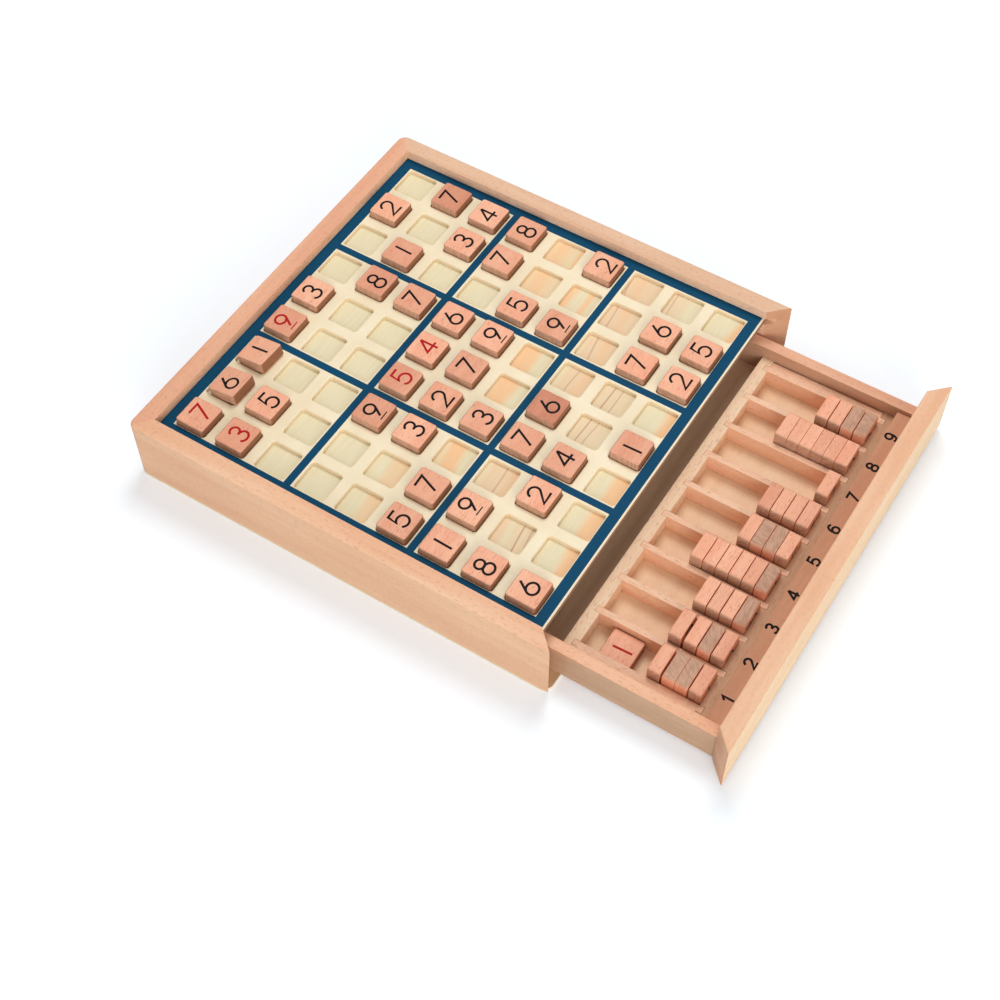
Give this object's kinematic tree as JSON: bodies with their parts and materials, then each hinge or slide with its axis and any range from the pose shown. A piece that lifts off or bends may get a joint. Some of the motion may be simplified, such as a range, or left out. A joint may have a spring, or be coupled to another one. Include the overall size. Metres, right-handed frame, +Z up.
{
  "type": "sudoku board",
  "caption": "Square wooden sudoku board with a pocketed printed grid, loose number tiles and a sliding drawer that holds a compartment tray.",
  "frame": {"origin": "point on the underside of the case, below the middle of the board's pockets", "axes": "+X to the player's right, +Y away from the player, +Z up; the drawer opens toward -Y"},
  "size_m": [0.2524, 0.3484, 0.0416],
  "materials": {
    "beech_bar": "satin",
    "beech_front": "satin",
    "tile": "satin",
    "tray": "satin",
    "board": "satin",
    "sheet": "matte",
    "strip": "satin"
  },
  "bodies": {
    "case": {"case_side_left": "beech_bar", "case_side_right": "beech_bar", "case_back": "beech_bar", "case_bottom": "sheet", "board_grid": "board", "board_base": "sheet"},
    "drawer": {"drawer_front": "beech_front", "drawer_side_left": "beech_bar", "drawer_side_right": "beech_bar", "drawer_back": "beech_bar", "drawer_bottom": "sheet", "number_strip": "strip", "tray_comb_front": "tray", "tray_comb_back": "tray", "tray_end_left": "tray", "tray_end_right": "tray", "tray_divider_1": "tray", "tray_divider_2": "tray", "tray_divider_3": "tray", "tray_divider_4": "tray", "tray_divider_5": "tray", "tray_divider_6": "tray", "tray_divider_7": "tray", "tray_divider_8": "tray"},
    "tiles_board_1": {"tiles_board_1": "tile"},
    "tiles_board_2": {"tiles_board_2": "tile"},
    "tiles_board_3": {"tiles_board_3": "tile"},
    "tiles_board_4": {"tiles_board_4": "tile"},
    "tiles_board_5": {"tiles_board_5": "tile"},
    "tiles_board_6": {"tiles_board_6": "tile"},
    "tiles_board_7": {"tiles_board_7": "tile"},
    "tiles_board_8": {"tiles_board_8": "tile"},
    "tiles_board_9": {"tiles_board_9": "tile"},
    "tiles_drawer_1": {"tiles_drawer_1": "tile"},
    "tiles_drawer_2": {"tiles_drawer_2": "tile"},
    "tiles_drawer_3": {"tiles_drawer_3": "tile"},
    "tiles_drawer_4": {"tiles_drawer_4": "tile"},
    "tiles_drawer_5": {"tiles_drawer_5": "tile"},
    "tiles_drawer_6": {"tiles_drawer_6": "tile"},
    "tiles_drawer_7": {"tiles_drawer_7": "tile"},
    "tiles_drawer_8": {"tiles_drawer_8": "tile"},
    "tiles_drawer_9": {"tiles_drawer_9": "tile"}
  },
  "joints": [
    {"name": "drawer_slide", "type": "slide", "parent": "case", "child": "drawer", "axis": [0, -1, 0], "range_m": [-0.0944, 0.06]},
    {"name": "tiles_board_1_lift", "type": "slide", "parent": "case", "child": "tiles_board_1", "axis": [0, 0, 1], "range_m": [0, 0.03]},
    {"name": "tiles_board_2_lift", "type": "slide", "parent": "case", "child": "tiles_board_2", "axis": [0, 0, 1], "range_m": [0, 0.03]},
    {"name": "tiles_board_3_lift", "type": "slide", "parent": "case", "child": "tiles_board_3", "axis": [0, 0, 1], "range_m": [0, 0.03]},
    {"name": "tiles_board_4_lift", "type": "slide", "parent": "case", "child": "tiles_board_4", "axis": [0, 0, 1], "range_m": [0, 0.03]},
    {"name": "tiles_board_5_lift", "type": "slide", "parent": "case", "child": "tiles_board_5", "axis": [0, 0, 1], "range_m": [0, 0.03]},
    {"name": "tiles_board_6_lift", "type": "slide", "parent": "case", "child": "tiles_board_6", "axis": [0, 0, 1], "range_m": [0, 0.03]},
    {"name": "tiles_board_7_lift", "type": "slide", "parent": "case", "child": "tiles_board_7", "axis": [0, 0, 1], "range_m": [0, 0.03]},
    {"name": "tiles_board_8_lift", "type": "slide", "parent": "case", "child": "tiles_board_8", "axis": [0, 0, 1], "range_m": [0, 0.03]},
    {"name": "tiles_board_9_lift", "type": "slide", "parent": "case", "child": "tiles_board_9", "axis": [0, 0, 1], "range_m": [0, 0.03]},
    {"name": "tiles_drawer_1_lift", "type": "slide", "parent": "drawer", "child": "tiles_drawer_1", "axis": [0, 0, 1], "range_m": [0, 0.04]},
    {"name": "tiles_drawer_2_lift", "type": "slide", "parent": "drawer", "child": "tiles_drawer_2", "axis": [0, 0, 1], "range_m": [0, 0.04]},
    {"name": "tiles_drawer_3_lift", "type": "slide", "parent": "drawer", "child": "tiles_drawer_3", "axis": [0, 0, 1], "range_m": [0, 0.04]},
    {"name": "tiles_drawer_4_lift", "type": "slide", "parent": "drawer", "child": "tiles_drawer_4", "axis": [0, 0, 1], "range_m": [0, 0.04]},
    {"name": "tiles_drawer_5_lift", "type": "slide", "parent": "drawer", "child": "tiles_drawer_5", "axis": [0, 0, 1], "range_m": [0, 0.04]},
    {"name": "tiles_drawer_6_lift", "type": "slide", "parent": "drawer", "child": "tiles_drawer_6", "axis": [0, 0, 1], "range_m": [0, 0.04]},
    {"name": "tiles_drawer_7_lift", "type": "slide", "parent": "drawer", "child": "tiles_drawer_7", "axis": [0, 0, 1], "range_m": [0, 0.04]},
    {"name": "tiles_drawer_8_lift", "type": "slide", "parent": "drawer", "child": "tiles_drawer_8", "axis": [0, 0, 1], "range_m": [0, 0.04]},
    {"name": "tiles_drawer_9_lift", "type": "slide", "parent": "drawer", "child": "tiles_drawer_9", "axis": [0, 0, 1], "range_m": [0, 0.04]}
  ]
}
